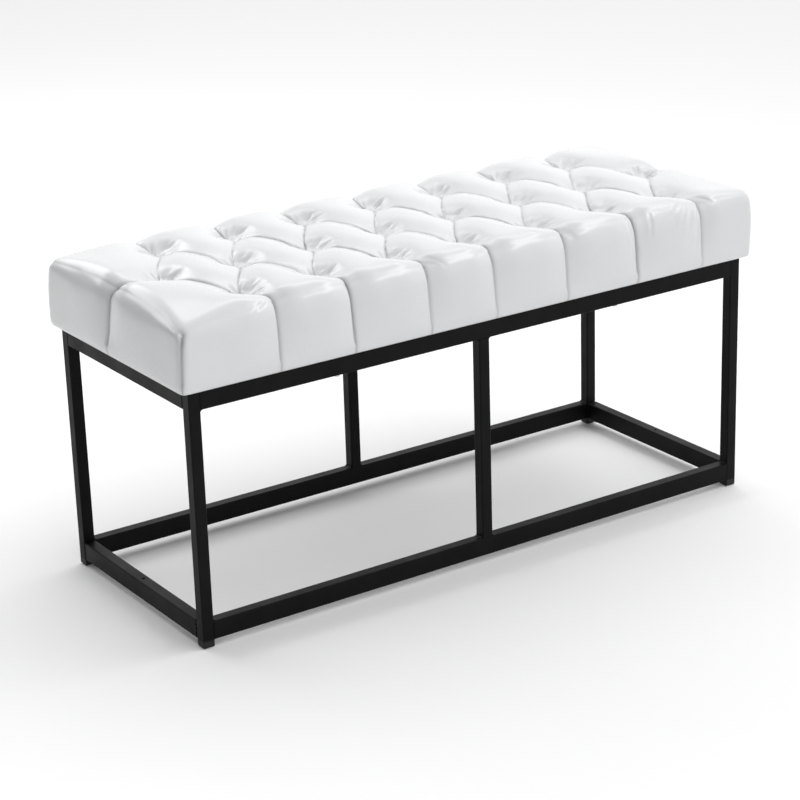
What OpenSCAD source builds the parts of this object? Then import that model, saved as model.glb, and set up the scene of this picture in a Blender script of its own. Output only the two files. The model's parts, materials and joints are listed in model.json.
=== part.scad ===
// Tufted bench on a steel tube frame.
// Millimetres. The origin is on the floor under the middle of the bench.
// X runs along its length, Y from front to back and Z up.

/* [Frame] */
// Length of the steel frame over its legs
frame_l = 974; // [760:1:1250]
// Depth of the steel frame over its legs
frame_w = 373; // [300:1:480]
// Height of the top of the frame above the floor
frame_h = 378; // [300:1:480]
// Width of the leg tube, which is square, and of every rail
tube_w = 18; // [15:0.5:25]
// Height of the rail tube
rail_h = 28; // [22:0.5:40]
// Wall of the steel tube
tube_t = 1.2; // [0.8:0.1:1.5]
// Radius of the outer corners of the tube
tube_r = 1.8; // [1.6:0.1:2.5]
// Size of the fillet welds in the corners of the side frames
weld = 5; // [3:0.5:8]

/* [Knock-down joints] */
// How far each spigot reaches into its short rail
spigot_l = 30; // [22:1:45]
// Wall of the spigot
spigot_t = 2; // [1.5:0.1:2.5]
// Clearance between the spigot and the inside of the rail, on each side
spigot_clear = 0.3; // [0.1:0.05:0.5]
// Gap between a leg and the end of a top short rail
top_gap = 1; // [0:0.5:4]
// Gap between a leg and the end of a bottom short rail
bottom_gap = 2.5; // [0:0.5:4]
// Distance from the leg to the middle of the joint bolt
bolt_in = 16; // [12:0.5:20]
// Nominal diameter of the joint bolt
bolt_d = 5; // [4:1:6]

/* [Feet and plugs] */
// Height of a foot below its leg
foot_h = 11; // [6:0.5:20]
// Radius of the lower edges of a foot
foot_r = 3.5; // [1:0.5:6]
// How far a foot or a plug reaches into its leg
plug_l = 14; // [8:1:30]
// Clearance between a plug and the inside of its leg, on each side
plug_clear = 0.1; // [0.05:0.05:0.4]

/* [Seat] */
// How far the seat stands past the frame at each end
overhang_x = 13.5; // [0:0.5:40]
// How far the seat stands past the frame at the front and back
overhang_y = 9.5; // [0:0.5:40]
// Height of the seat above the frame
seat_h = 112; // [80:1:150]
// Radius of the upright corners of the seat
seat_corner_r = 16; // [12:1:40]
// Radius of the upper edges of the seat
seat_edge_r = 20; // [12:1:35]
// Thickness of the cover
cover_t = 1.2; // [0.8:0.1:2]
// Width of the cover turned in under the board
hem_w = 45; // [36:1:70]
// Thickness of the plywood board
board_t = 12; // [9:1:18]
// Thickness of the wadding over the foam
wadding_t = 6; // [3:1:12]
// Gap left between the layers of the seat
layer_gap = 0.3; // [0.1:0.05:0.5]
// Thickness of the dust cloth under the seat
dust_t = 0.5; // [0.3:0.1:1]
// Distance from the edge of the seat to the edge of the dust cloth
dust_in = 11; // [8:1:20]

/* [Tufting] */
// Number of tufts in the middle row, one more than in each outer row
tuft_count = 8; // [4:1:10]
// Distance from the end of the seat to the first tuft of the middle row
tuft_end_in = 70; // [60:1:110]
// Distance from the long edge of the seat to an outer row
tuft_edge_in = 76; // [60:1:110]
// How far the pattern sits towards +X of the middle of the seat
tuft_shift = 10; // [-15:1:15]
// Depth of a tuft below the top of the seat
tuft_depth = 24; // [12:1:32]
// Radius of a tuft at its mouth
tuft_mouth_r = 24; // [16:1:28]
// Radius of a tuft at its bottom
tuft_floor_r = 8; // [7:0.5:12]
// Radius of the hidden button that holds each tuft down
button_r = 6; // [4:0.5:6.5]
// Thickness of the hidden button
button_t = 2; // [1:0.5:4]
// Diameter of the tufting twine
twine_d = 1.6; // [1:0.1:2.5]
// Diameter of the hole for the twine through the foam and the board
twine_hole_d = 6; // [4:0.5:8]
// Thickness of the fibre washer under the board
washer_t = 0.9; // [0.5:0.1:1.1]
// Radius of the fibre washer
washer_r = 6; // [4:0.5:7]

/* [Seat screws and staples] */
// Diameter of the wood screws that hold the seat
screw_d = 4; // [3:0.5:5]
// Diameter of the holes for them through the rails
screw_hole_d = 5; // [4:0.5:6]
// How far they bite into the board
screw_bite = 9; // [6:0.5:9]
// Distance from the end of the frame to the screws in the long rails
screw_in = 240; // [150:5:330]
// Length of the crown of a staple
staple_w = 10; // [6:1:12]
// Thickness of the staple wire
staple_t = 0.6; // [0.4:0.1:0.8]
// How far the legs of a staple reach into the board
staple_bite = 6; // [4:0.5:8]
// Greatest distance between two staples that hold the cover
staple_pitch = 55; // [40:5:90]

/* [Hidden] */
$fn = 48;

// Bolts, nuts and screws, in proportion to their diameters
bolt_clear = 0.3;
bolt_head_r = bolt_d * 0.95;
bolt_head_h = bolt_d * 0.55;
thread_bite = 0.35;
nut_af = bolt_d * 1.6;
nut_h = bolt_d * 0.8;
screw_head_r = screw_d;
screw_head_h = screw_d * 0.6;
screw_washer_r = screw_d * 1.5;
screw_washer_t = 1;
socket_af = bolt_d * 0.55;
socket_h = bolt_head_h * 0.6;
over = 1;

// Places on the frame
leg_x = frame_l / 2 - tube_w / 2;
leg_y = frame_w / 2 - tube_w / 2;
bottom_rail_z = foot_h + rail_h / 2;
top_rail_z = frame_h - rail_h / 2;
long_rail_l = frame_l - 2 * tube_w;
short_span = frame_w - 2 * tube_w;
mid_leg_z = foot_h + rail_h;
mid_leg_l = frame_h - foot_h - 2 * rail_h;
bore_w = tube_w - 2 * tube_t;
bore_h = rail_h - 2 * tube_t;
bore_r = tube_r - tube_t;
plug_w = bore_w - 2 * plug_clear;
spigot_floor = -bore_h / 2 + spigot_clear + spigot_t;

// Places in the seat, from the frame up
seat_l = frame_l + 2 * overhang_x;
seat_w = frame_w + 2 * overhang_y;
seat_top = frame_h + seat_h;
cover_z = frame_h + dust_t;
board_z = cover_z + cover_t;
foam_z = board_z + board_t;
inner_in = cover_t + layer_gap;
foam_in = inner_in + wadding_t + layer_gap;
tuft_floor_z = seat_top - tuft_depth;
button_z = tuft_floor_z - cover_t - button_t;
button_room = 1.5;

// Tufts: a middle row, and an outer row on each side of it, half a pitch along
tuft_pitch = (seat_l - 2 * tuft_end_in) / (tuft_count - 1);
tuft_row_y = seat_w / 2 - tuft_edge_in;
tuft_spots = concat(
    [for (i = [0:tuft_count - 1]) [tuft_shift + (i - (tuft_count - 1) / 2) * tuft_pitch, 0]],
    [for (y = [-tuft_row_y, tuft_row_y], i = [0:tuft_count - 2])
        [tuft_shift + (i - (tuft_count - 2) / 2) * tuft_pitch, y]]
);

// Seat screws: two in each long rail and one in each short rail
screw_x = frame_l / 2 - screw_in;
screw_spots = concat(
    [for (x = [-screw_x, screw_x], y = [-leg_y, leg_y]) [x, y]],
    [for (x = [-leg_x, leg_x]) [x, 0]]
);

// Staples: one line around the hem and one around the dust cloth, inside the rails
hem_line_x = seat_l / 2 - hem_w + 5;
hem_line_y = seat_w / 2 - hem_w + 5;
dust_line_in = 4;
dust_line_x = frame_l / 2 - tube_w - dust_line_in;
dust_line_y = frame_w / 2 - tube_w - dust_line_in;
dust_pitch_share = 1.6;

// ---- Shapes that repeat ----

// Rectangle with true arcs at its corners
module rounded_rect(w, h, r) {
    square([w - 2 * r, h], center = true);
    square([w, h - 2 * r], center = true);
    for (x = [-1, 1], y = [-1, 1])
        translate([x * (w / 2 - r), y * (h / 2 - r)]) circle(r = r);
}

// Tube of the frame's steel, standing on Z = 0
module tube(length, w, h) {
    linear_extrude(length)
        difference() {
            rounded_rect(w, h, tube_r);
            rounded_rect(w - 2 * tube_t, h - 2 * tube_t, bore_r);
        }
}

// Block on Z = 0 whose upright corners and upper edges are round
module soft_block(l, w, h, corner_r, edge_r) {
    intersection() {
        linear_extrude(h) rounded_rect(l, w, corner_r);
        translate([0, w / 2, 0]) rotate([90, 0, 0]) linear_extrude(w) round_top(l, h, edge_r);
        translate([-l / 2, 0, 0]) rotate([90, 0, 90]) linear_extrude(l) round_top(w, h, edge_r);
    }
}

// Outline of such a block, seen from its side
module round_top(w, h, r) {
    translate([-w / 2, 0]) square([w, h - r]);
    translate([-w / 2 + r, 0]) square([w - 2 * r, h]);
    for (x = [-1, 1]) translate([x * (w / 2 - r), h - r]) circle(r = r);
}

// Copies of a part at all four corners
module at_corners(x, y) {
    for (sx = [-1, 1], sy = [-1, 1]) translate([sx * x, sy * y, 0]) children();
}

module at_spots(spots) {
    for (spot = spots) translate([spot[0], spot[1], 0]) children();
}

// ---- Steel frame ----

module leg(sx, sy) {
    color([0.03, 0.03, 0.03])
        translate([sx * leg_x, sy * leg_y, foot_h]) tube(frame_h - foot_h, tube_w, tube_w);
}

module mid_leg(sy) {
    color([0.03, 0.03, 0.03])
        translate([0, sy * leg_y, mid_leg_z]) tube(mid_leg_l, tube_w, tube_w);
}

module long_rail(sy, z) {
    color([0.03, 0.03, 0.03])
        translate([-long_rail_l / 2, sy * leg_y, z])
            rotate([90, 0, 90]) tube(long_rail_l, tube_w, rail_h);
}

// A top long rail has a hole right through it for each seat screw
module top_long_rail(sy) {
    difference() {
        long_rail(sy, top_rail_z);
        color([0.03, 0.03, 0.03])
            for (sx = [-1, 1])
                translate([sx * screw_x, sy * leg_y, top_rail_z])
                    cylinder(h = rail_h + 2 * over, d = screw_hole_d, center = true);
    }
}

// All four short rails are the same tube, so the bottom two have the screw hole as well
module short_rail(sx, z, gap) {
    length = short_span - 2 * gap;
    color([0.03, 0.03, 0.03])
        difference() {
            translate([sx * leg_x, length / 2, z]) rotate([90, 0, 0]) tube(length, tube_w, rail_h);
            translate([sx * leg_x, 0, z])
                cylinder(h = rail_h + 2 * over, d = screw_hole_d, center = true);
            for (sy = [-1, 1])
                translate([sx * leg_x, sy * (short_span / 2 - bolt_in), z - rail_h / 2])
                    cylinder(h = 3 * tube_t, d = bolt_d + 2 * bolt_clear, center = true);
        }
}

// Fillet of weld, one tube wide, in the corner between +X and +Z
module weld_fillet() {
    width = tube_w - 2 * tube_r;
    translate([0, width / 2, 0])
        rotate([90, 0, 0])
            linear_extrude(width)
                difference() {
                    square(weld);
                    translate([weld, weld]) circle(r = weld);
                }
}

module frame_welds() {
    color([0.04, 0.04, 0.04])
        for (sx = [-1, 1], sy = [-1, 1], end = [0, 1]) {
            z = end == 0 ? mid_leg_z : mid_leg_z + mid_leg_l;
            // in the corner between a leg and a long rail
            translate([sx * (leg_x - tube_w / 2), sy * leg_y, z])
                mirror([sx > 0 ? 1 : 0, 0, 0]) mirror([0, 0, end]) weld_fillet();
            // on both sides of a middle leg
            translate([sx * tube_w / 2, sy * leg_y, z])
                mirror([sx < 0 ? 1 : 0, 0, 0]) mirror([0, 0, end]) weld_fillet();
        }
}

// ---- Knock-down joints of the short rails ----

// The eight places where a short rail meets a leg, looking along the rail from the leg
module at_rail_ends() {
    for (sx = [-1, 1], sy = [-1, 1], z = [bottom_rail_z, top_rail_z])
        translate([sx * leg_x, sy * short_span / 2, z])
            mirror([0, sy > 0 ? 1 : 0, 0]) children();
}

module rail_spigots() {
    w = bore_w - 2 * spigot_clear;
    h = bore_h - 2 * spigot_clear;
    color([0.25, 0.25, 0.25])
        at_rail_ends()
            difference() {
                translate([-w / 2, 0, -h / 2]) cube([w, spigot_l, h]);
                translate([-w / 2 + spigot_t, -over, -h / 2 + spigot_t])
                    cube([w - 2 * spigot_t, spigot_l + 2 * over, h - 2 * spigot_t]);
                translate([0, bolt_in, -h / 2])
                    cylinder(h = 3 * spigot_t, d = bolt_d + 2 * bolt_clear, center = true);
            }
}

module spigot_nuts() {
    color([0.6, 0.6, 0.62])
        at_rail_ends()
            translate([0, bolt_in, spigot_floor]) rotate([0, 0, 30])
                difference() {
                    cylinder(h = nut_h, d = nut_af / cos(30), $fn = 6);
                    translate([0, 0, -over]) cylinder(h = nut_h + 2 * over, d = bolt_d - thread_bite);
                }
}

module spigot_bolts() {
    shank = spigot_floor + nut_h + over + rail_h / 2;
    color([0.1, 0.1, 0.1])
        at_rail_ends()
            translate([0, bolt_in, -rail_h / 2])
                difference() {
                    union() {
                        translate([0, 0, -bolt_head_h]) cylinder(h = bolt_head_h, r = bolt_head_r);
                        translate([0, 0, -over / 2]) cylinder(h = shank + over / 2, d = bolt_d);
                    }
                    translate([0, 0, -bolt_head_h - over])
                        cylinder(h = socket_h + over, d = socket_af / cos(30), $fn = 6);
                }
}

// ---- Plugs and feet ----

module leg_top_plugs() {
    color([0.06, 0.06, 0.06])
        at_corners(leg_x, leg_y)
            translate([0, 0, frame_h - plug_l])
                linear_extrude(plug_l) rounded_rect(plug_w, plug_w, bore_r);
}

module foot(sx, sy) {
    color([0.05, 0.05, 0.05])
        translate([sx * leg_x, sy * leg_y, 0]) {
            translate([0, 0, foot_h]) mirror([0, 0, 1])
                soft_block(tube_w, tube_w, foot_h, tube_r, foot_r);
            translate([0, 0, foot_h - over])
                linear_extrude(plug_l + over) rounded_rect(plug_w, plug_w, bore_r);
        }
}

// ---- Seat ----

// The seat's outer form, taken in by a given amount at its sides, top and tufts
module seat_form(take_in) {
    slope = (tuft_mouth_r - tuft_floor_r) / tuft_depth;
    difference() {
        translate([0, 0, cover_z])
            soft_block(
                seat_l - 2 * take_in, seat_w - 2 * take_in, seat_top - cover_z - take_in,
                seat_corner_r - take_in, seat_edge_r - take_in
            );
        at_spots(tuft_spots)
            translate([0, 0, tuft_floor_z - take_in])
                cylinder(
                    h = tuft_depth + over,
                    r1 = tuft_floor_r + take_in,
                    r2 = tuft_mouth_r + take_in + slope * over
                );
    }
}

// Everything above a height, to cut a form with
module above(z) {
    translate([-seat_l, -seat_w, z]) cube([2 * seat_l, 2 * seat_w, seat_h * 2]);
}

// Room for the hidden buttons and their twine
module tuft_holes() {
    at_spots(tuft_spots) {
        translate([0, 0, button_z - button_room])
            cylinder(h = tuft_depth, r = button_r + button_room);
        translate([0, 0, board_z - over]) cylinder(h = seat_h, d = twine_hole_d);
    }
}

module seat_cover() {
    color([0.9, 0.9, 0.91])
        difference() {
            seat_form(0);
            intersection() {
                seat_form(cover_t);
                above(board_z);
            }
            translate([0, 0, cover_z])
                cube([seat_l - 2 * hem_w, seat_w - 2 * hem_w, 4 * cover_t], center = true);
            at_spots(screw_spots)
                translate([0, 0, cover_z]) cylinder(h = 4 * cover_t, d = screw_hole_d, center = true);
        }
}

module seat_wadding() {
    color([0.96, 0.96, 0.94])
        difference() {
            intersection() {
                seat_form(inner_in);
                above(foam_z);
            }
            seat_form(inner_in + wadding_t);
            tuft_holes();
        }
}

module seat_foam() {
    color([0.93, 0.87, 0.62])
        difference() {
            intersection() {
                seat_form(foam_in);
                above(foam_z);
            }
            tuft_holes();
        }
}

module seat_board() {
    color([0.78, 0.62, 0.42])
        difference() {
            translate([0, 0, board_z])
                linear_extrude(board_t)
                    rounded_rect(seat_l - 2 * inner_in, seat_w - 2 * inner_in, seat_corner_r - inner_in);
            at_spots(tuft_spots)
                translate([0, 0, board_z - over]) cylinder(h = board_t + 2 * over, d = twine_hole_d);
            at_spots(screw_spots)
                translate([0, 0, board_z - over]) cylinder(h = screw_bite + over, d = screw_d - thread_bite);
        }
}

module tuft_buttons() {
    color([0.7, 0.7, 0.7])
        at_spots(tuft_spots) translate([0, 0, button_z]) cylinder(h = button_t, r = button_r);
}

module tuft_twines() {
    color([0.85, 0.82, 0.72])
        at_spots(tuft_spots)
            translate([0, 0, board_z - washer_t])
                cylinder(h = button_z - board_z + washer_t, d = twine_d, $fn = 16);
}

module tuft_washers() {
    color([0.45, 0.3, 0.2])
        at_spots(tuft_spots)
            translate([0, 0, board_z - washer_t])
                difference() {
                    cylinder(h = washer_t, r = washer_r);
                    translate([0, 0, -over]) cylinder(h = washer_t + 2 * over, d = twine_d + 0.2);
                }
}

module dust_cloth() {
    corner_r = seat_corner_r - dust_in / 2;
    color([0.08, 0.08, 0.08])
        translate([0, 0, frame_h])
            difference() {
                linear_extrude(dust_t)
                    rounded_rect(seat_l - 2 * dust_in, seat_w - 2 * dust_in, corner_r);
                at_spots(screw_spots) cylinder(h = 4 * dust_t, d = screw_hole_d, center = true);
            }
}

// ---- Staples ----

// Staple along X: its crown lies just above Z = 0 and its legs point up
module staple(leg_l) {
    translate([-staple_w / 2, -staple_t, 0]) cube([staple_w, 2 * staple_t, staple_t]);
    for (x = [-staple_w / 2, staple_w / 2 - staple_t])
        translate([x, -staple_t, 0]) cube([staple_t, 2 * staple_t, leg_l]);
}

// Staples spaced evenly around a rectangle, clear of its corners
module staple_ring(x, y, pitch, leg_l) {
    along_x = ceil(2 * x / pitch);
    along_y = ceil(2 * y / pitch);
    for (sy = [-1, 1], i = [0:along_x - 1])
        translate([-x + (i + 0.5) * 2 * x / along_x, sy * y, 0]) staple(leg_l);
    for (sx = [-1, 1], i = [0:along_y - 1])
        translate([sx * x, -y + (i + 0.5) * 2 * y / along_y, 0]) rotate([0, 0, 90]) staple(leg_l);
}

module cover_staples() {
    color([0.75, 0.75, 0.76])
        translate([0, 0, cover_z])
            staple_ring(hem_line_x, hem_line_y, staple_pitch, cover_t + staple_bite);
}

module dust_staples() {
    leg_l = staple_t + dust_t + cover_t + staple_bite;
    color([0.75, 0.75, 0.76])
        translate([0, 0, frame_h - staple_t])
            staple_ring(dust_line_x, dust_line_y, staple_pitch * dust_pitch_share, leg_l);
}

// ---- Seat screws ----

module screw_washers() {
    color([0.6, 0.6, 0.62])
        at_spots(screw_spots)
            translate([0, 0, frame_h - rail_h - screw_washer_t])
                difference() {
                    cylinder(h = screw_washer_t, r = screw_washer_r);
                    translate([0, 0, -over])
                        cylinder(h = screw_washer_t + 2 * over, d = screw_d + 2 * bolt_clear);
                }
}

module seat_screws() {
    head_z = frame_h - rail_h - screw_washer_t;
    color([0.6, 0.6, 0.62])
        at_spots(screw_spots)
            difference() {
                union() {
                    translate([0, 0, head_z - screw_head_h]) cylinder(h = screw_head_h, r = screw_head_r);
                    translate([0, 0, head_z - over])
                        cylinder(h = board_z + screw_bite - head_z + over, d = screw_d);
                }
                translate([0, 0, head_z - screw_head_h])
                    for (turn = [0, 90])
                        rotate([0, 0, turn])
                            cube([screw_head_r * 1.2, screw_head_r * 0.3, screw_head_h], center = true);
            }
}

// ---- What is drawn ----

leg(-1, -1);  // leg_front_left
leg(1, -1);  // leg_front_right
leg(-1, 1);  // leg_rear_left
leg(1, 1);  // leg_rear_right
mid_leg(-1);  // mid_leg_front
mid_leg(1);  // mid_leg_rear
top_long_rail(-1);  // top_rail_front
top_long_rail(1);  // top_rail_rear
short_rail(-1, top_rail_z, top_gap);  // top_rail_left
short_rail(1, top_rail_z, top_gap);  // top_rail_right
long_rail(-1, bottom_rail_z);  // bottom_rail_front
long_rail(1, bottom_rail_z);  // bottom_rail_rear
short_rail(-1, bottom_rail_z, bottom_gap);  // bottom_rail_left
short_rail(1, bottom_rail_z, bottom_gap);  // bottom_rail_right
frame_welds();
rail_spigots();
spigot_nuts();
spigot_bolts();
leg_top_plugs();
foot(-1, -1);  // foot_front_left
foot(1, -1);  // foot_front_right
foot(-1, 1);  // foot_rear_left
foot(1, 1);  // foot_rear_right
seat_board();
seat_foam();
seat_wadding();
seat_cover();
tuft_buttons();
tuft_twines();
tuft_washers();
dust_cloth();
cover_staples();
dust_staples();
seat_screws();
screw_washers();
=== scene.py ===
# %% [markdown]
# # A tufted bench on a steel tube frame
# The steel frame, its hardware and the layers inside the seat come from the CAD model. This file gives
# every one of them a finish, and makes the pleated leather cover that the CAD model only holds a space for.

# %% Load the frame
import json
import math

import bmesh
import bpy
import numpy as np
from mathutils import Matrix, Vector


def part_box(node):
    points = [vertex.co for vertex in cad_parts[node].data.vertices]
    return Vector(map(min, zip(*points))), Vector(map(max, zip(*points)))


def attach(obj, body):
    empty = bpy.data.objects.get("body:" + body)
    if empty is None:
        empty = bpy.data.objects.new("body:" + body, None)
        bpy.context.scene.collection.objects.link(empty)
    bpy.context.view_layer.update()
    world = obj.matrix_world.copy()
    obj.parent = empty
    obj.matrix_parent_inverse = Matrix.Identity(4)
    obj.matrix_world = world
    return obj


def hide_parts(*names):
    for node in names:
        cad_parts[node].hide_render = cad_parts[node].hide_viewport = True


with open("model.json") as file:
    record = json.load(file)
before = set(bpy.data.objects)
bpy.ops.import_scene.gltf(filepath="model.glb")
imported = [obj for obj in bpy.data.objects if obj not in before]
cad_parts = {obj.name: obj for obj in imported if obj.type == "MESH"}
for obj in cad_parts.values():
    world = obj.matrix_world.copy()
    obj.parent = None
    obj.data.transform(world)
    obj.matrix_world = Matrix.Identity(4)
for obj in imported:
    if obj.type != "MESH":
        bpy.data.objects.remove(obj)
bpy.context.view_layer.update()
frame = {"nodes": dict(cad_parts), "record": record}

nodes = frame["nodes"]
MM = 0.001

# %% [markdown]
# ## The camera
# A long lens from well back keeps the legs almost parallel. The bench is seen from its front left and a
# little above, so its front, its left end and the top of the seat all show.

# %% Place the camera
CAMERA_AT = Vector((-1.9044, -2.8268, 1.4613))
CAMERA_YAW = math.radians(-33.617)
CAMERA_TILT = math.radians(90 - 20.265)
CAMERA_ROLL = math.radians(-1.78)
LENS, SENSOR = 107.54, 36

camera = bpy.data.objects.new("camera", bpy.data.cameras.new("camera"))
bpy.context.scene.collection.objects.link(camera)
camera.data.lens = LENS
camera.data.sensor_width = SENSOR
turn = (
    Matrix.Rotation(CAMERA_YAW, 4, "Z")
    @ Matrix.Rotation(CAMERA_TILT, 4, "X")
    @ Matrix.Rotation(CAMERA_ROLL, 4, "Z")
)
camera.matrix_world = Matrix.Translation(CAMERA_AT) @ turn
bpy.context.scene.camera = camera
print("camera at", [round(v, 3) for v in camera.location])

# %% [markdown]
# ## The studio
# The bench stands on a pale floor under a broad white sky. The sky is strongest overhead and weaker on the
# left, which leaves the left end of the seat in soft shade and gives the top its bright edge.

# %% Helpers for selecting, materials and nodes
def deselect():
    bpy.ops.object.select_all(action="DESELECT")


def select_only(piece):
    deselect()
    bpy.context.view_layer.objects.active = piece
    piece.select_set(True)


def material(name):
    made = bpy.data.materials.new(name)
    made.use_nodes = True
    return made, made.node_tree, made.node_tree.nodes["Principled BSDF"]


def add_node(tree, kind, **settings):
    node = tree.nodes.new(kind)
    for key, value in settings.items():
        if key in node.inputs:
            node.inputs[key].default_value = value
        else:
            setattr(node, key, value)
    return node


# %% Floor
FLOOR_SIZE = 40
FLOOR_COLOUR = (0.97, 0.97, 0.97, 1)

deselect()
bpy.ops.mesh.primitive_plane_add(size=FLOOR_SIZE)
floor = bpy.context.object
floor.name = "floor"
floor_paint, tree, shader = material("floor_paint")
shader.inputs["Base Color"].default_value = FLOOR_COLOUR
shader.inputs["Roughness"].default_value = 0.9
shader.inputs["Specular IOR Level"].default_value = 0.1
floor.data.materials.append(floor_paint)
print("floor", FLOOR_SIZE, "m across")

# %% Sky
HORIZON, ZENITH, ZENITH_FROM = 1.14, 1.32, 0.8
LEFT_SHADE, SHADE_FROM, SHADE_TO = 0.02, -0.8, 0.15

world = bpy.data.worlds.new("studio")
bpy.context.scene.world = world
world.use_nodes = True
sky = world.node_tree
where = add_node(sky, "ShaderNodeTexCoord")
split = add_node(sky, "ShaderNodeSeparateXYZ")
height = add_node(sky, "ShaderNodeMapRange", **{
    "From Max": ZENITH_FROM, "To Min": HORIZON, "To Max": ZENITH})
across = add_node(sky, "ShaderNodeMapRange", **{
    "From Min": SHADE_FROM, "From Max": SHADE_TO, "To Min": LEFT_SHADE, "To Max": 1.0})
both = add_node(sky, "ShaderNodeMath", operation="MULTIPLY")
sky.links.new(where.outputs["Generated"], split.inputs[0])
sky.links.new(split.outputs["Z"], height.inputs["Value"])
sky.links.new(split.outputs["X"], across.inputs["Value"])
sky.links.new(height.outputs[0], both.inputs[0])
sky.links.new(across.outputs[0], both.inputs[1])
sky.links.new(both.outputs[0], sky.nodes["Background"].inputs["Strength"])
sky.nodes["Background"].inputs["Color"].default_value = (1, 1, 1, 1)
bpy.context.scene.view_settings.view_transform = "Standard"
print("sky from", HORIZON, "to", ZENITH)


# %% Lights
def area_light(name, at, look_at, size, power):
    data = bpy.data.lights.new(name, "AREA")
    data.shape = "RECTANGLE"
    data.size, data.size_y = size
    data.energy = power
    light = bpy.data.objects.new(name, data)
    bpy.context.scene.collection.objects.link(light)
    light.location = at
    light.rotation_euler = (Vector(look_at) - Vector(at)).to_track_quat("-Z", "Y").to_euler()
    return light


area_light("overhead", (0.9, 0.9, 2.4), (0, 0, 0.45), (2.6, 0.5), 8)
area_light("left_edge_band", (-1.0, 2.5, 2.1), (-0.3, 0, 0.45), (2.6, 0.9), 20)
area_light("front_edge_band", (1.4, -0.9, 2.4), (0, -0.1, 0.45), (1.6, 0.4), 9)

# %% [markdown]
# ## The seat
# The cover is one sheet of soft artificial leather, pulled over foam and drawn down by twenty-two hidden
# buttons. Folds run on the diagonals from button to button, and pleats run from the outer buttons over the
# edge and down the sides. It is laid out here as a flat grid whose lines meet at the buttons, so each fold
# follows the grid, and then shaped, blown up a little as cloth, smoothed and given its fine wrinkles.

# %% Seat sizes
seat_low, seat_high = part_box("seat_cover")
board_low, board_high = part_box("seat_board")
SEAT_Z = seat_high.z - seat_low.z
BOARD_MARGIN = 2 * MM
OVER_BOARD = board_high.z + BOARD_MARGIN - seat_low.z

left_end, right_end = seat_low.x, seat_high.x
front_edge, rear_edge = seat_low.y, seat_high.y
seat_centre = np.array([(left_end + right_end) / 2, (front_edge + rear_edge) / 2])
seat_half = np.array([(right_end - left_end) / 2, (rear_edge - front_edge) / 2])
print("cover past the board by", round((board_low.x - left_end) / MM, 1), "mm")


# %% Find the buttons
TOUCHING = 1e-6
ROW_SPLIT = 10 * MM


def island_centres(name):
    """Middle of each separate solid of a CAD node, seen from above."""
    mesh = bmesh.new()
    mesh.from_mesh(nodes[name].data)
    bmesh.ops.remove_doubles(mesh, verts=mesh.verts, dist=TOUCHING)
    left = set(mesh.verts)
    centres = []
    while left:
        todo = [left.pop()]
        found = list(todo)
        while todo:
            for edge in todo.pop().link_edges:
                for vert in edge.verts:
                    if vert in left:
                        left.remove(vert)
                        todo.append(vert)
                        found.append(vert)
        xs = [v.co.x for v in found]
        ys = [v.co.y for v in found]
        centres.append(((min(xs) + max(xs)) / 2, (min(ys) + max(ys)) / 2))
    mesh.free()
    return sorted(centres)


tufts = island_centres("tuft_buttons")
middle_row = [t for t in tufts if abs(t[1]) < ROW_SPLIT]
front_row = [t for t in tufts if t[1] < -ROW_SPLIT]
rear_row = [t for t in tufts if t[1] > ROW_SPLIT]
print(len(tufts), "buttons in rows of", len(front_row), len(middle_row), len(rear_row))

# %% Folds, pleats and corner seams
FOLD_DEPTH = 11 * MM
FOLD_REACH = 44 * MM
PLEAT_DEPTH = 13 * MM
CORNER_DEPTH = 3 * MM
CORNER_REACH = 12 * MM

# each crease: its two ends on the flat cover, its depth and its reach
folds = []
corner_seams = []
for row, hem in ((front_row, front_edge - SEAT_Z), (rear_row, rear_edge + SEAT_Z)):
    for i, tuft in enumerate(row):
        folds.append((tuft, middle_row[i], FOLD_DEPTH, FOLD_REACH))
        folds.append((tuft, middle_row[i + 1], FOLD_DEPTH, FOLD_REACH))
        folds.append((tuft, (tuft[0], hem), PLEAT_DEPTH, FOLD_REACH))
folds.append((middle_row[0], (left_end - SEAT_Z, 0), PLEAT_DEPTH, FOLD_REACH))
folds.append((middle_row[-1], (right_end + SEAT_Z, 0), PLEAT_DEPTH, FOLD_REACH))
for x, down_x in ((left_end, -SEAT_Z), (right_end, SEAT_Z)):
    for y, down_y in ((front_edge, -SEAT_Z), (rear_edge, SEAT_Z)):
        corner_seams.append(((x, y), (x, y + down_y), CORNER_DEPTH, CORNER_REACH))
        corner_seams.append(((x, y), (x + down_x, y), CORNER_DEPTH, CORNER_REACH))
print(len(folds), "folds and pleats,", len(corner_seams) // 2, "corner seams")


# %% Flat grid of the cover
# cells outside the rows of buttons are longer than those between them
OUTER_STRETCH = 1.6


def steps_between(stops, counts):
    """Values from the first stop to the last, with so many even steps from each stop to the next."""
    values = [stops[0]]
    for a, b, n in zip(stops, stops[1:], counts):
        values += [a + (b - a) * i / n for i in range(1, n + 1)]
    return values


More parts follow.
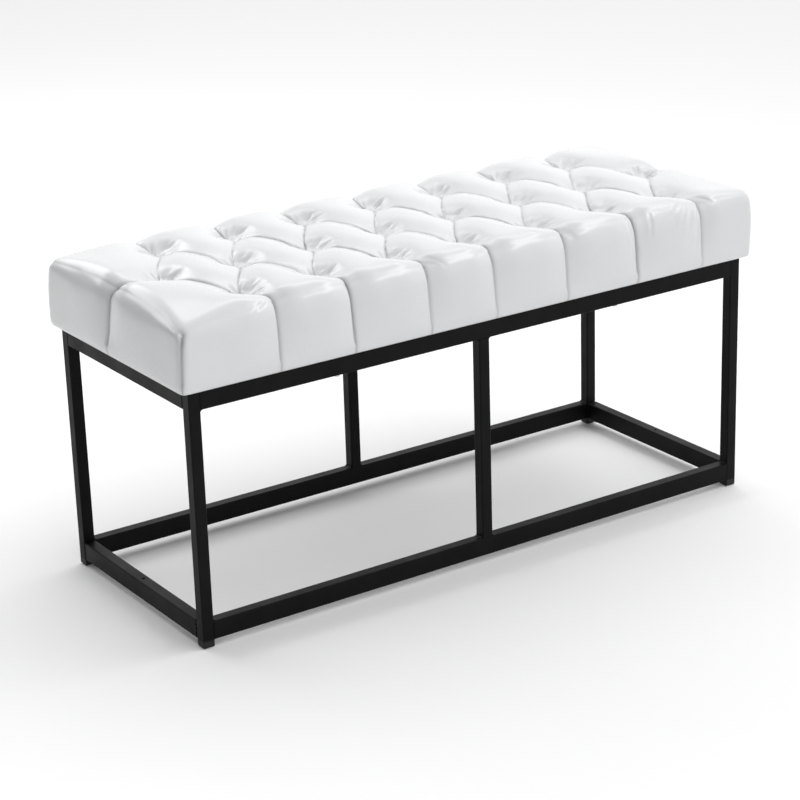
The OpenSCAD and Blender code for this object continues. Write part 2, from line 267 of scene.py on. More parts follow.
def flat_grid(per_half_pitch, height):
    """Points of a sharp-edged seat, their places on the cover laid flat, its faces and its lowest rim."""
    step = (middle_row[1][0] - middle_row[0][0]) / 2 / per_half_pitch
    columns = sorted(t[0] for t in middle_row + front_row)
    stops = [left_end] + columns + [right_end]
    xs = steps_between(stops, [max(1, round((b - a) / step)) for a, b in zip(stops, stops[1:])])
    row_y = rear_row[0][1]
    stops = [front_edge, -row_y, 0, row_y, rear_edge]
    outer = round((rear_edge - row_y) / step / OUTER_STRETCH)
    ys = steps_between(stops, [outer, per_half_pitch, per_half_pitch, outer])
    levels = round(height / step / OUTER_STRETCH)
    nx, ny = len(xs), len(ys)
    sharp = [(x, y, 0.0) for y in ys for x in xs]
    flat = [(x, y) for y in ys for x in xs]
    faces = [
        (j * nx + i, j * nx + i + 1, (j + 1) * nx + i + 1, (j + 1) * nx + i)
        for j in range(ny - 1) for i in range(nx - 1)
    ]
    rim = list(range(nx))
    rim += [j * nx + nx - 1 for j in range(1, ny)]
    rim += [(ny - 1) * nx + i for i in range(nx - 2, -1, -1)]
    rim += [j * nx for j in range(ny - 2, 0, -1)]
    above = rim
    n = len(rim)
    for k in range(1, levels + 1):
        depth = height * k / levels
        here = []
        for v in rim:
            x, y, _ = sharp[v]
            here.append(len(sharp))
            sharp.append((x, y, -depth))
            if y in (front_edge, rear_edge):
                flat.append((x, y + math.copysign(depth, y)))
            else:
                flat.append((x + math.copysign(depth, x), y))
        faces += [(above[i], here[i], here[(i + 1) % n], above[(i + 1) % n]) for i in range(n)]
        above = here
    return np.array(sharp), np.array(flat), faces, above


def along_and_away(flat, crease):
    """How far along a crease each point lies (0 to 1), and the vector from the crease to the point."""
    a, b = np.array(crease[0]), np.array(crease[1])
    along = np.clip(((flat - a) @ (b - a)) / ((b - a) @ (b - a)), 0, 1)
    return along, flat - (a + along[:, None] * (b - a))


print("buttons in a row are", round((middle_row[1][0] - middle_row[0][0]) / MM, 1), "mm apart")


# %% Round the sharp seat
TINY = 1e-9
EDGE_R, CORNER_EDGE_R = 34 * MM, 15 * MM
CORNER_REGION = 62 * MM
CORNER_POWER = 6


def rounded(p, to_corner):
    """The seat's points brought onto its rounded form, and the direction outwards at each of them."""
    edge_r = EDGE_R - (EDGE_R - CORNER_EDGE_R) * np.exp(-(to_corner / CORNER_REGION) ** 2)
    inner = np.stack([
        np.clip(p[:, 0], -seat_half[0] + edge_r, seat_half[0] - edge_r),
        np.clip(p[:, 1], -seat_half[1] + edge_r, seat_half[1] - edge_r),
        np.minimum(p[:, 2], -edge_r),
    ], axis=1)
    s = p - inner
    plan = (np.abs(s[:, 0]) ** CORNER_POWER + np.abs(s[:, 1]) ** CORNER_POWER) ** (1 / CORNER_POWER)
    out = s / np.sqrt(plan ** 2 + s[:, 2] ** 2)[:, None]
    return inner + out * edge_r[:, None], out


print("seat edges round by", round(EDGE_R / MM), "mm, and by", round(CORNER_EDGE_R / MM), "mm at the corners")

# %% Press in the folds and the buttons
ROLL = 15 * MM
FOLD_STEEPNESS = 0.75
TUFT_REACH = 23 * MM
TUFT_DEPTH = 24.5 * MM
TUFT_STEEPNESS = 1.4
CROWN = 2 * MM


def pressed_in(flat, fade):
    """How deep folds, pleats and buttons press each point, and how far the folds pull it sideways."""
    rise = np.ones(len(flat))
    move = np.zeros((len(flat), 2))
    for crease in folds + corner_seams:
        depth, reach = crease[2:]
        _, away = along_and_away(flat, crease)
        d = np.linalg.norm(away, axis=1)
        share = depth * fade / FOLD_DEPTH
        rise *= 1 - share * (1 - np.sin(np.pi / 2 * np.clip(d / reach, 0, 1)) ** FOLD_STEEPNESS)
        roll = ROLL * (1 - np.cos(np.pi / 2 * np.clip(d / ROLL, 0, 1))) - np.minimum(d, ROLL)
        if reach > CORNER_REACH:
            move += away / np.maximum(d, TINY)[:, None] * (roll * share)[:, None]
    press = FOLD_DEPTH * (1 - rise)
    for t in tufts:
        r = np.linalg.norm(flat - np.array(t), axis=1)
        press += (TUFT_DEPTH + CROWN - FOLD_DEPTH) * np.exp(-(r / TUFT_REACH) ** TUFT_STEEPNESS)
    return press, move


print("buttons sit", round(TUFT_DEPTH / MM, 1), "mm below the crown of the seat")

# %% Drop the corners and let the pleats drift
CORNER_SLOPE = 165 * MM
FRONT_LEFT_DROP, FRONT_RIGHT_DROP = 26 * MM, 9 * MM
REAR_LEFT_DROP, REAR_RIGHT_DROP = 15 * MM, 11 * MM
FRONT_DRIFT = np.array([13, 11, 16, 7, 13, 22, 24]) * MM
REAR_DRIFT = np.array([-6, 8, -4, 9, 5, -7, 6]) * MM
END_DRIFT = 16 * MM


def drop_corners(place, p, to_corner, down):
    """The stuffing thins out towards the corners, so the seat is lower there."""
    drop = np.where(
        p[:, 1] < 0,
        np.where(p[:, 0] < 0, FRONT_LEFT_DROP, FRONT_RIGHT_DROP),
        np.where(p[:, 0] < 0, REAR_LEFT_DROP, REAR_RIGHT_DROP))
    place[:, 2] -= drop * np.clip(1 - to_corner / CORNER_SLOPE, 0, 1) ** 2 * (1 - down)


def drift_pleats(place, p, flat):
    """Each pleat runs a little to one side on its way over the edge."""
    for row, drift in ((front_row, FRONT_DRIFT), (rear_row, REAR_DRIFT)):
        side = math.copysign(1, row[0][1])
        past = np.clip((side * flat[:, 1] - abs(row[0][1])) / (seat_half[1] - abs(row[0][1])), 0, 1)
        stops = [left_end] + [t[0] for t in row] + [right_end]
        place[:, 0] += np.interp(flat[:, 0], stops, [0, *drift, 0]) * past ** 2 * (3 - 2 * past)
    past = np.clip((middle_row[0][0] - flat[:, 0]) / (middle_row[0][0] - left_end), 0, 1)
    to_middle = np.clip(1 - np.abs(p[:, 1]) / seat_half[1], 0, 1)
    place[:, 1] += END_DRIFT * past ** 2 * (3 - 2 * past) * to_middle


print("front left corner drops by", round(FRONT_LEFT_DROP / MM), "mm")

# %% Shape of the seat
CROWN_END, CROWN_SIDE = 0.3, 0.5
SIDE_BULGE = 3 * MM
LEAN_X, LEAN_Y = 4.8 * MM, 4 * MM
LEAN_POWER = 3
BOARD_FADE = 0.6
TUCK = 1.0 * MM


def seat_shape(sharp, flat, height, take_in=0.0):
    """Rounds the sharp seat, crowns it, then presses in the folds, pleats, seams and buttons."""
    middle = np.array([*seat_centre, 0])
    p = sharp - middle
    to_corner = np.hypot(seat_half[0] - np.abs(p[:, 0]), seat_half[1] - np.abs(p[:, 1]))
    place, out = rounded(p, to_corner)

    down = np.clip(-p[:, 2] / SEAT_Z, 0, 1)
    on_top = p[:, 2] > -TINY
    across_x = np.clip(1 - (p[:, 0] / seat_half[0]) ** 2, 0, 1)
    across_y = np.clip(1 - (p[:, 1] / seat_half[1]) ** 2, 0, 1)
    grow = np.where(on_top, CROWN * across_x ** CROWN_END * across_y ** CROWN_SIDE, 0)
    grow += SIDE_BULGE * np.sin(np.pi * down)

    fade = np.clip(1 - down * SEAT_Z / (SEAT_Z - OVER_BOARD), 0, 1) ** BOARD_FADE
    press, move = pressed_in(flat, fade)
    place += out * (grow - press - take_in)[:, None]
    place[:, 0] += LEAN_X * fade * np.abs(p[:, 0] / seat_half[0]) ** LEAN_POWER
    place[:, 1] += LEAN_Y * fade * np.abs(p[:, 1] / seat_half[1]) ** LEAN_POWER

    # on the sides, a fold only pulls along the side
    faces_x = np.abs(out[:, 0]) > np.abs(out[:, 1])
    move[~on_top & faces_x, 0] = 0
    move[~on_top & ~faces_x, 1] = 0
    place[:, :2] += move

    drop_corners(place, p, to_corner, down)
    drift_pleats(place, p, flat)

    # the lowest edge curls in under the board
    low = np.clip(1 - (height + p[:, 2]) / TUCK, 0, 1)
    place[:, :2] -= out[:, :2] * (TUCK * (1 - np.sqrt(1 - low ** 2)))[:, None]
    place += middle
    place[:, 2] += seat_high.z
    return place


print("seat crown", round(CROWN / MM), "mm, side bulge", round(SIDE_BULGE / MM), "mm")


# %% Make a seat layer
HEM_IN = (4 * MM, 12 * MM, 30 * MM)
COVER_STEPS = 14


def seat_layer(name, per_half_pitch, bottom_z, take_in=0.0):
    """A shaped layer of the seat, open underneath, which remembers its place on the flat cover."""
    height = seat_high.z - bottom_z
    sharp, flat, faces, lowest = flat_grid(per_half_pitch, height)
    place = seat_shape(sharp, flat, height, take_in)
    points = [tuple(v) for v in place]
    flats = [tuple(v) for v in flat]
    ring = lowest
    n = len(ring)
    for inset in HEM_IN:
        here = []
        for v in lowest:
            x, y = seat_centre + (place[v][:2] - seat_centre) * (seat_half - inset) / seat_half
            here.append(len(points))
            points.append((x, y, bottom_z))
            flats.append(flats[v])
        faces += [(ring[i], here[i], here[(i + 1) % n], ring[(i + 1) % n]) for i in range(n)]
        ring = here
    mesh = bpy.data.meshes.new(name)
    mesh.from_pydata(points, [], faces)
    mesh.attributes.new("flat_place", "FLOAT_VECTOR", "POINT")
    flat_points = np.array([(x, y, 0) for x, y in flats])
    mesh.attributes["flat_place"].data.foreach_set("vector", flat_points.ravel())
    piece = bpy.data.objects.new(name, mesh)
    bpy.context.scene.collection.objects.link(piece)
    return piece


def read_points(piece, attribute=None):
    data = piece.data.attributes[attribute].data if attribute else piece.data.vertices
    values = np.empty(len(data) * 3)
    data.foreach_get("vector" if attribute else "co", values)
    return values.reshape(-1, 3)


def write_points(piece, points):
    piece.data.vertices.foreach_set("co", points.ravel())
    piece.data.update()


cover = seat_layer("tufted_cover", COVER_STEPS, seat_low.z)
print("cover grid has", len(cover.data.polygons), "faces")

# %% [markdown]
# ### Air in the cover
# Cloth simulation lets the sheet find its own fullness between the buttons. The folds, the buttons and the
# hem are held, air pushes outwards with no gravity, and no point may move more than a few millimetres.

# %% Blow the cover up
HELD_NEAR, FREE_FROM = 3 * MM, 14 * MM
CORNER_FREE, CORNER_FADE = 85 * MM, 40 * MM
HEM_HELD = 6 * MM
AIR = 4.0
SIM_FRAMES = 20
MOST_MOVE = 5 * MM
STRETCH = 15
BENDING = 0.6


def blow_up(piece):
    """Cloth simulation with air inside, applied, with no point moved too far."""
    start = read_points(piece)
    flat = read_points(piece, "flat_place")[:, :2]
    away = np.full(len(start), 1.0)
    for crease in folds:
        away = np.minimum(away, np.linalg.norm(along_and_away(flat, crease)[1], axis=1))
    hold = np.clip((FREE_FROM - away) / (FREE_FROM - HELD_NEAR), 0, 1)
    to_corner = np.linalg.norm(seat_half - np.abs(start[:, :2] - seat_centre), axis=1)
    hold = np.maximum(hold, np.clip((CORNER_FREE - to_corner) / CORNER_FADE, 0, 1))
    hold[start[:, 2] < seat_low.z + HEM_HELD] = 1
    hold = np.round(hold, 1)
    held = piece.vertex_groups.new(name="held")
    for level in np.unique(hold):
        if level > 0:
            held.add([int(v) for v in np.where(hold == level)[0]], float(level), "REPLACE")
    cloth = piece.modifiers.new("air", "CLOTH")
    cloth.settings.quality = 5
    cloth.settings.tension_stiffness = STRETCH
    cloth.settings.compression_stiffness = STRETCH
    cloth.settings.bending_stiffness = BENDING
    cloth.settings.use_pressure = True
    cloth.settings.uniform_pressure_force = AIR
    cloth.settings.vertex_group_mass = "held"
    cloth.settings.effector_weights.gravity = 0
    cloth.point_cache.frame_start = 1
    cloth.point_cache.frame_end = SIM_FRAMES
    scene = bpy.context.scene
    for number in range(1, SIM_FRAMES + 1):
        scene.frame_set(number)
    select_only(piece)
    bpy.ops.object.modifier_apply(modifier="air")
    moved = read_points(piece) - start
    length = np.linalg.norm(moved, axis=1)
    moved *= np.minimum(1, MOST_MOVE / np.maximum(length, TINY))[:, None]
    write_points(piece, start + moved)
    piece.vertex_groups.clear()
    scene.frame_set(1)
    print("air moved the cover by up to", round(length.max() / MM, 1), "mm, kept to", round(MOST_MOVE / MM))


blow_up(cover)

# %% [markdown]
# ### Smoothing and fine wrinkles
# One level of subdivision rounds the grid. The fine shape comes after it: a sharp line along each fold with
# one side lying over the other, short wrinkles that fan out from the buttons, and a few long drag lines.


# %% Smooth a layer
def smooth(piece):
    select_only(piece)
    mod = piece.modifiers.new("smooth", "SUBSURF")
    mod.levels = mod.render_levels = 1
    bpy.ops.object.modifier_apply(modifier="smooth")


smooth(cover)
print("smoothed cover has", len(cover.data.polygons), "faces")

# %% Lines along the folds
GROOVE_DEPTH, GROOVE_WIDTH = 2.5 * MM, 2.0 * MM
LAP_HEIGHT, LAP_WIDTH = 1.8 * MM, 10 * MM
BOW, BOW_REACH = 3.5 * MM, 22 * MM
SHADE_WIDTH = 1.8 * MM
FAINTEST_FOLD = 0.45

chance = np.random.default_rng(7)


def fold_lines(flat):
    """A groove along each fold with one side lapped over it, its sideways bow and its shade."""
    groove, lap, shade = np.zeros((3, len(flat)))
    nearest = np.full(len(flat), 1.0)
    sideways = np.zeros((len(flat), 2))
    for number, crease in enumerate(folds):
        along, away = along_and_away(flat, crease)
        d = np.linalg.norm(away, axis=1)
        run = np.array(crease[1]) - np.array(crease[0])
        across = np.array([-run[1], run[0]]) / np.linalg.norm(run)
        over = (away @ across) * (1 if number % 2 else -1) > 0
        strength = np.sin(np.pi * np.clip(along, 0.02, 1)) ** 0.5
        sharpness = chance.uniform(FAINTEST_FOLD, 1.0)
        groove = np.maximum(groove, sharpness * GROOVE_DEPTH * np.exp(-d / GROOVE_WIDTH))
        lap = np.maximum(lap, np.where(over, LAP_HEIGHT * strength * np.exp(-d / LAP_WIDTH), 0))
        # painted shade along each fold, kept as a mask and mixed into the cover's colour later
        shade = np.maximum(shade, sharpness * np.exp(-d / SHADE_WIDTH))
        bow = BOW * np.sin(2 * np.pi * along) * np.exp(-(d / BOW_REACH) ** 2)
        sideways += across * bow[:, None]
        nearest = np.minimum(nearest, d)
    return lap - groove, shade, sideways, nearest


print("folds between", FAINTEST_FOLD, "and 1 of their full sharpness")

# %% Corner seams
SEAM_DEPTH, SEAM_SHADE = 1.2 * MM, 0.9
NOTCH_DEPTH, NOTCH_WIDTH = 1.5 * MM, 4 * MM
NOTCH_AT, NOTCH_LENGTH = 0.14, 0.07
SEAM_FROM = 0.02


def add_seams(flat, lift, shade):
    """A thin line down each corner, with a small notch just below the edge and painted shade along the line.
    """
    for seam in corner_seams:
        along, away = along_and_away(flat, seam)
        d = np.linalg.norm(away, axis=1)
        lift -= SEAM_DEPTH * np.exp(-d / GROOVE_WIDTH)
        lift -= NOTCH_DEPTH * np.exp(-(d / NOTCH_WIDTH) ** 2 - ((along - NOTCH_AT) / NOTCH_LENGTH) ** 2)
        # painted shade along each corner seam, into the same mask as the folds
        shade = np.maximum(shade, SEAM_SHADE * np.exp(-d / SHADE_WIDTH) * (along > SEAM_FROM))
    return lift, shade


print("corner seams", round(SEAM_DEPTH / MM, 1), "mm deep")

# %% Wrinkles that fan out from the buttons
FAN_HEIGHT = 1.5 * MM
FAN_AT, FAN_SPREAD = 18 * MM, 11 * MM
FAN_WAVES = (7, 11, 16, 23)
BUTTON_SHADE, BUTTON_SHADE_REACH = 0.8, 7 * MM
FLAT_AT_BUTTON, LEFT_AT_BUTTON = 6 * MM, 0.3


def add_fans(flat, lift, shade):
    """Short wrinkles round each button, all but gone on top of the button itself, and painted shade in each
    button's pit.
    """
    for t in tufts:
        offset = flat - np.array(t)
        r = np.linalg.norm(offset, axis=1)
        turn = np.arctan2(offset[:, 1], offset[:, 0])
        fan = sum(np.cos(k * turn + chance.uniform(0, 2 * np.pi)) for k in FAN_WAVES) / 2
        lift += FAN_HEIGHT * fan * np.exp(-((r - FAN_AT) / FAN_SPREAD) ** 2)
        # painted shade darkening the cover in and round each button pit
        shade = np.maximum(shade, BUTTON_SHADE * np.exp(-(r / BUTTON_SHADE_REACH) ** 2))
        lift[r < FLAT_AT_BUTTON] *= LEFT_AT_BUTTON
    return lift, shade


print("fans of", FAN_WAVES, "waves round", len(tufts), "buttons")

# %% Drag lines
# the next values are in millimetres on the flat cover
PER_BUTTON, BUTTON_START, BUTTON_RUN = 4, 9, (18, 42)
PER_PLEAT, PLEAT_SHIFT, PLEAT_START, PLEAT_RUN = 2, (-28, 28), (40, 60), (25, 60)
START_SHIFT = 0.3

# wrinkles beside the last two front pleats: x from the pleat's button, y past the edge
PULLS = (
    (5, (-8, 8), (4, -72)), (5, (-15, 4), (-8, -50)), (5, (30, 2), (24, -44)),
    (6, (-9, 12), (-30, -55)), (6, (-18, 8), (-46, -42)),
    (6, (-2, 10), (-14, -78)), (6, (-30, 12), (-58, -24)),
)

# each kind of line: depth, width, height of its two lips, their width against the line's, and its taper
DRAG_FORM = (1.3 * MM, 4.5 * MM, 0.5, 2, 0.5)
PULL_FORM = (1.9 * MM, 3.2 * MM, 0.6, 2.2, 0.6)


def drag_lines():
    """Long shallow wrinkles that start near a button or a pleat and run into the stuffing."""
    lines = []
    for t in tufts:
        for _ in range(PER_BUTTON):
            turn = chance.uniform(0, 2 * np.pi)
            heading = np.array([np.cos(turn), np.sin(turn)])
            start = np.array(t) + BUTTON_START * MM * heading
            lines.append((start, start + chance.uniform(*BUTTON_RUN) * MM * heading))
    for t in front_row + rear_row:
        side = math.copysign(1, t[1])
        for _ in range(PER_PLEAT):
            shift = chance.uniform(*PLEAT_SHIFT) * MM
            start = np.array([t[0] + shift * START_SHIFT, t[1] + side * chance.uniform(*PLEAT_START) * MM])
            lines.append((start, start + np.array([shift, side * chance.uniform(*PLEAT_RUN) * MM])))
    return lines


def pull_lines():
    """The wrinkles listed in PULLS, from where they start to where they end."""
    lines = []
    for number, start, end in PULLS:
        corner = np.array([front_row[number][0], front_edge])
        lines.append((corner + np.array(start) * MM, corner + np.array(end) * MM))
    return lines


def add_lines(flat, lift, lines, form):
    """Presses each line into the cover, with a low lip on both sides."""
    depth, width, lip, lip_width, taper = form
    for line in lines:
        along, away = along_and_away(flat, line)
        d = np.linalg.norm(away, axis=1)
        shape = np.exp(-(d / width) ** 2) - lip * np.exp(-(d / width / lip_width) ** 2)
        lift -= depth * shape * np.sin(np.pi * along) ** taper


print(PER_BUTTON * len(tufts) + PER_PLEAT * len(front_row + rear_row) + len(PULLS), "drag lines")

# %% Put the fine wrinkles on the cover
LEFT_BY_BOARD = 0.25
PLAIN_HEM = 1 * MM
TOP_FROM, TOP_OVER = 0.1, 0.5


def fine_wrinkles(piece):
    """Lifts and lowers the smoothed cover, and gives it a mask of painted shade for its folds, seams and
    button pits.
    """
    points = read_points(piece)
    flat = read_points(piece, "flat_place")[:, :2]
    normals = np.empty(len(points) * 3)
    piece.data.vertices.foreach_get("normal", normals)
    normals = normals.reshape(-1, 3)
    lift, shade, sideways, nearest = fold_lines(flat)
    lift, shade = add_seams(flat, lift, shade)
    lift, shade = add_fans(flat, lift, shade)
    add_lines(flat, lift, drag_lines(), DRAG_FORM)
    add_lines(flat, lift, pull_lines(), PULL_FORM)
    lift[points[:, 2] < seat_low.z + OVER_BOARD] *= LEFT_BY_BOARD
    lift[points[:, 2] < seat_low.z + PLAIN_HEM] = 0
    shade[points[:, 2] < seat_low.z + PLAIN_HEM] = 0
    points += normals * lift[:, None]
    top = np.clip((normals[:, 2] - TOP_FROM) / TOP_OVER, 0, 1)
    points[:, :2] += sideways * top[:, None]
    write_points(piece, points)
    # the fold_shade attribute is a mask of painted shade, mixed into the leather colour
    mask = piece.data.attributes.new("fold_shade", "FLOAT", "POINT")
    mask.data.foreach_set("value", np.clip(shade, 0, 1))
    return nearest


nearest_fold = fine_wrinkles(cover)
print("fine wrinkles on", len(nearest_fold), "points")


# %% Turn faces along the folds, and close the underside
ON_FOLD = 0.02 * MM


def turn_faces(piece, distance):
    """Splits each face that a fold crosses corner to corner, so the fold stays a clean line."""
    mesh = bmesh.new()
    mesh.from_mesh(piece.data)
    mesh.verts.ensure_lookup_table()
    on_fold = distance < ON_FOLD
    for face in list(mesh.faces):
        v = face.verts
        if len(v) == 4:
            for a, b in ((0, 2), (1, 3)):
                if on_fold[v[a].index] and on_fold[v[b].index]:
                    bmesh.utils.face_split(face, v[a], v[b])
                    break
    mesh.to_mesh(piece.data)
    mesh.free()


def close_underside(piece):
    """Fills the open underside with one flat face and points every face outwards."""
    select_only(piece)
    bpy.ops.object.mode_set(mode="EDIT")
    bpy.ops.mesh.select_mode(type="VERT")
    bpy.ops.mesh.select_all(action="DESELECT")
    bpy.ops.mesh.select_non_manifold()
    bpy.ops.mesh.edge_face_add()
    bpy.ops.mesh.select_all(action="SELECT")
    bpy.ops.mesh.normals_make_consistent(inside=False)
    bpy.ops.object.mode_set(mode="OBJECT")
    bpy.ops.object.shade_smooth()


turn_faces(cover, nearest_fold)
close_underside(cover)
cover_points = read_points(cover)
print("cover reaches", cover_points.min(axis=0).round(4), cover_points.max(axis=0).round(4))

# %% [markdown]
# ### The filling
# Under the cover lie a thin layer of wadding and the foam block. They follow the folds at a small distance,
# and stand on the plywood board.

# %% Wadding and foam
FILL_GAP = 0.3 * MM
FILL_BOTTOM = board_high.z + FILL_GAP
FILL_STEPS = 8
WADDING_IN, FOAM_IN = 9.0 * MM, 15.0 * MM

wadding = seat_layer("wadding_layer", FILL_STEPS, FILL_BOTTOM, WADDING_IN)
foam = seat_layer("foam_block", FILL_STEPS, FILL_BOTTOM, FOAM_IN)
for piece in (wadding, foam):
    close_underside(piece)
    print(piece.name, "top at", round(read_points(piece)[:, 2].max(), 4))

# %% [markdown]
# ## Finishes
# Two node groups are shared. One gives a soft mottle between two colours with a mask, the other a fine
# bump. Each finish sets its own scale and depth in them, so paint, plastic, zinc and wood all differ.


# %% Shared node groups
def node_group(name, inputs, outputs):
    group = bpy.data.node_groups.new(name, "ShaderNodeTree")
    for socket, kind, value in inputs:
        made = group.interface.new_socket(socket, in_out="INPUT", socket_type=kind)
        made.default_value = value
    for socket, kind in outputs:
        group.interface.new_socket(socket, in_out="OUTPUT", socket_type=kind)
    return group, group.nodes.new("NodeGroupInput"), group.nodes.new("NodeGroupOutput")


mottle, given, result = node_group(
    "mottle",
    (("Light", "NodeSocketColor", (1, 1, 1, 1)), ("Dark", "NodeSocketColor", (0, 0, 0, 1)),
     ("Scale", "NodeSocketFloat", 20.0), ("Stretch", "NodeSocketVector", (1, 1, 1))),
    (("Color", "NodeSocketColor"), ("Mask", "NodeSocketFloat")),
)
place_node = add_node(mottle, "ShaderNodeTexCoord")
stretch_node = add_node(mottle, "ShaderNodeVectorMath", operation="MULTIPLY")
noise = add_node(mottle, "ShaderNodeTexNoise", Detail=2.0, Roughness=0.45)
spread = add_node(mottle, "ShaderNodeMapRange", interpolation_type="SMOOTHSTEP", **{
    "From Min": 0.2, "From Max": 0.8})
blend = add_node(mottle, "ShaderNodeMix", data_type="RGBA")
mottle.links.new(place_node.outputs["Object"], stretch_node.inputs[0])
mottle.links.new(given.outputs["Stretch"], stretch_node.inputs[1])
mottle.links.new(stretch_node.outputs[0], noise.inputs["Vector"])
mottle.links.new(given.outputs["Scale"], noise.inputs["Scale"])
mottle.links.new(noise.outputs["Fac"], spread.inputs["Value"])
mottle.links.new(spread.outputs[0], blend.inputs["Factor"])
mottle.links.new(given.outputs["Light"], blend.inputs["A"])
mottle.links.new(given.outputs["Dark"], blend.inputs["B"])
mottle.links.new(blend.outputs["Result"], result.inputs["Color"])
mottle.links.new(spread.outputs[0], result.inputs["Mask"])

fine_bump, given, result = node_group(
    "fine_bump",
    (("Scale", "NodeSocketFloat", 800.0), ("Depth", "NodeSocketFloat", 0.0001),
     ("Strength", "NodeSocketFloat", 0.5), ("Stretch", "NodeSocketVector", (1, 1, 1))),
    (("Normal", "NodeSocketVector"),),
)
place_node = add_node(fine_bump, "ShaderNodeTexCoord")
stretch_node = add_node(fine_bump, "ShaderNodeVectorMath", operation="MULTIPLY")
cells = add_node(fine_bump, "ShaderNodeTexVoronoi", feature="SMOOTH_F1")
bump = add_node(fine_bump, "ShaderNodeBump")
fine_bump.links.new(place_node.outputs["Object"], stretch_node.inputs[0])
fine_bump.links.new(given.outputs["Stretch"], stretch_node.inputs[1])
fine_bump.links.new(stretch_node.outputs[0], cells.inputs["Vector"])
fine_bump.links.new(given.outputs["Scale"], cells.inputs["Scale"])
fine_bump.links.new(cells.outputs["Distance"], bump.inputs["Height"])
fine_bump.links.new(given.outputs["Depth"], bump.inputs["Distance"])
fine_bump.links.new(given.outputs["Strength"], bump.inputs["Strength"])
fine_bump.links.new(bump.outputs["Normal"], result.inputs["Normal"])
print("groups:", mottle.name, fine_bump.name)


# %% A finish from the two groups
def finish(name, light, dark, mottle_scale, rough, bump_scale, bump_depth, strength=0.5,
           metal=0.0, specular=0.5, stretch=(1, 1, 1)):
    """A material mottled between two colours, with its roughness between two values."""
    made, tree, shader = material(name)
    colours = add_node(tree, "ShaderNodeGroup", node_tree=mottle)
    colours.inputs["Light"].default_value = (*light, 1)
    colours.inputs["Dark"].default_value = (*dark, 1)
    colours.inputs["Scale"].default_value = mottle_scale
    colours.inputs["Stretch"].default_value = stretch
    ranges = add_node(tree, "ShaderNodeMapRange", **{"To Min": rough[0], "To Max": rough[1]})
    grain = add_node(tree, "ShaderNodeGroup", node_tree=fine_bump)
    grain.inputs["Scale"].default_value = bump_scale
    grain.inputs["Depth"].default_value = bump_depth
    grain.inputs["Strength"].default_value = strength
    grain.inputs["Stretch"].default_value = stretch
    tree.links.new(colours.outputs["Color"], shader.inputs["Base Color"])
    tree.links.new(colours.outputs["Mask"], ranges.inputs["Value"])
    tree.links.new(ranges.outputs[0], shader.inputs["Roughness"])
    tree.links.new(grain.outputs["Normal"], shader.inputs["Normal"])
    shader.inputs["Metallic"].default_value = metal
    shader.inputs["Specular IOR Level"].default_value = specular
    return made, tree, shader


finishes = {}
finishes["black_steel"] = finish(
    "black_powder_coat", (0.0042, 0.0042, 0.0046), (0.0026, 0.0026, 0.0029), 30,
    (0.40, 0.50), 1400, 0.00005, 0.25, specular=0.10)[0]
finishes["black_fastener"] = finish(
    "black_oxide", (0.018, 0.018, 0.019), (0.010, 0.010, 0.010), 150,
    (0.35, 0.5), 2500, 0.00003, 0.3, metal=0.7)[0]
finishes["zinc_steel"] = finish(
    "zinc_plate", (0.62, 0.63, 0.65), (0.45, 0.46, 0.48), 220,
    (0.25, 0.42), 1800, 0.00004, 0.3, metal=1.0)[0]
finishes["black_plastic"] = finish(
    "moulded_black_plastic", (0.012, 0.012, 0.012), (0.008, 0.008, 0.008), 60,
    (0.5, 0.62), 2200, 0.00008, 0.5, specular=0.3)[0]
finishes["foam"] = finish(
    "open_cell_foam", (0.85, 0.78, 0.52), (0.74, 0.66, 0.40), 90,
    (0.85, 0.95), 900, 0.0006, 0.9, specular=0.2)[0]
finishes["wadding"] = finish(
    "polyester_wadding", (0.88, 0.88, 0.87), (0.78, 0.78, 0.78), 120,
    (0.85, 0.95), 500, 0.0008, 0.7, specular=0.2, stretch=(0.3, 1, 1))[0]
finishes["button_plastic"] = finish(
    "button_plastic", (0.72, 0.72, 0.70), (0.62, 0.62, 0.60), 200,
    (0.35, 0.5), 1500, 0.00005, 0.3)[0]
finishes["twine"] = finish(
    "waxed_twine", (0.70, 0.66, 0.56), (0.50, 0.46, 0.38), 900,
    (0.6, 0.8), 1600, 0.0004, 0.9, specular=0.3, stretch=(1, 1, 0.4))[0]
finishes["fibre"] = finish(
    "pressed_fibre", (0.30, 0.20, 0.12), (0.20, 0.13, 0.08), 400,
    (0.7, 0.85), 1800, 0.0002, 0.7, specular=0.3)[0]
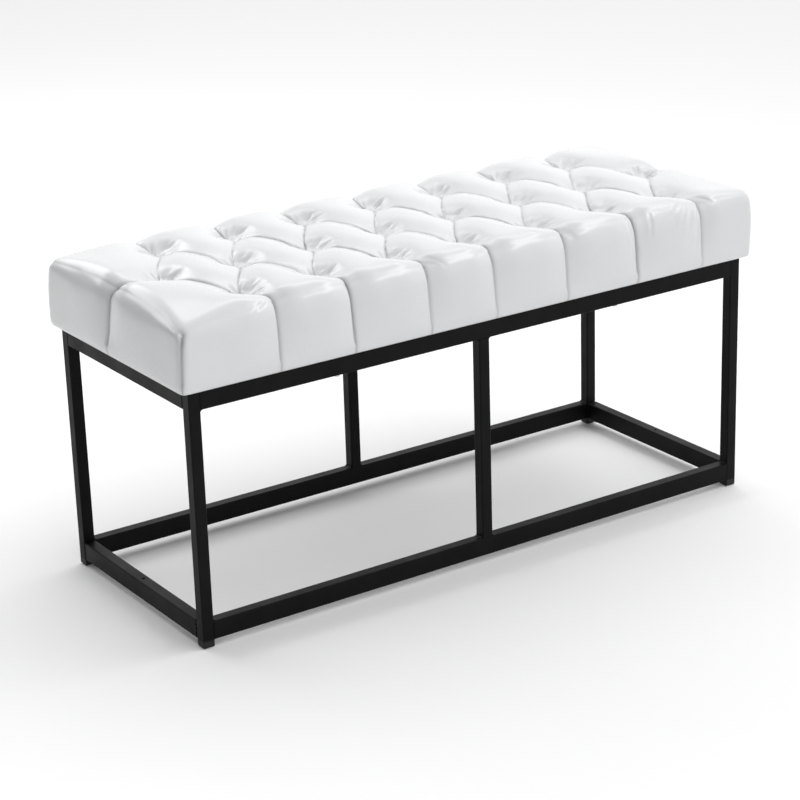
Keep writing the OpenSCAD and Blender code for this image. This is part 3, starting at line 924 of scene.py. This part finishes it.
finishes["dust_cloth"] = finish(
    "spun_dust_cloth", (0.030, 0.030, 0.031), (0.012, 0.012, 0.013), 350,
    (0.85, 0.95), 420, 0.0004, 0.8, specular=0.2)[0]
finishes["plywood"] = finish(
    "birch_plywood", (0.70, 0.52, 0.33), (0.52, 0.35, 0.20), 60,
    (0.55, 0.7), 700, 0.0002, 0.5, specular=0.3, stretch=(0.06, 1, 2.2))[0]
print(len(finishes), "finishes")

# %% [markdown]
# ### The white cover
# Artificial leather is a smooth, slightly pebbled film. It is a cool white with a soft gloss, with shade
# painted into its colour: it is darker down in the folds, along the corner seams and in the button pits.

# %% White cover finish
LEATHER = (0.690, 0.697, 0.706)
LEATHER_DARK = (0.676, 0.683, 0.693)
PAINTED_SHADE_COLOUR = (0.30, 0.31, 0.33, 1)
FOLD_SHADE = 0.75

leather, tree, shader = finish(
    "white_artificial_leather", LEATHER, LEATHER_DARK, 900, (0.25, 0.28), 700, 0.0001, 0.06)
shader.inputs["Coat Weight"].default_value = 0.35
shader.inputs["Coat Roughness"].default_value = 0.18
# painted shade: the fold_shade mask mixes the cover colour towards a dark grey in the folds, corner seams and
# button pits
shade = add_node(tree, "ShaderNodeAttribute", attribute_name="fold_shade")
shade_power = add_node(tree, "ShaderNodeMath", operation="MULTIPLY")
shade_power.inputs[1].default_value = FOLD_SHADE
painted_shade_mix = add_node(tree, "ShaderNodeMix", data_type="RGBA")
painted_shade_mix.inputs["B"].default_value = PAINTED_SHADE_COLOUR
plain = shader.inputs["Base Color"].links[0].from_socket
tree.links.new(shade.outputs["Fac"], shade_power.inputs[0])
tree.links.new(shade_power.outputs[0], painted_shade_mix.inputs["Factor"])
tree.links.new(plain, painted_shade_mix.inputs["A"])
tree.links.new(painted_shade_mix.outputs["Result"], shader.inputs["Base Color"])
finishes["faux_leather"] = leather
print("cover colour", LEATHER)

# %% Put every finish on
for row in frame["record"]["subparts"]:
    node = nodes[row["node"]]
    node.data.materials.clear()
    node.data.materials.append(finishes[row["material_slot"]])
for piece, node_name, slot in (
    (cover, "seat_cover", "faux_leather"),
    (wadding, "seat_wadding", "wadding"),
    (foam, "seat_foam", "foam"),
):
    piece.data.materials.append(finishes[slot])
    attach(piece, "root")
    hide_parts(node_name)
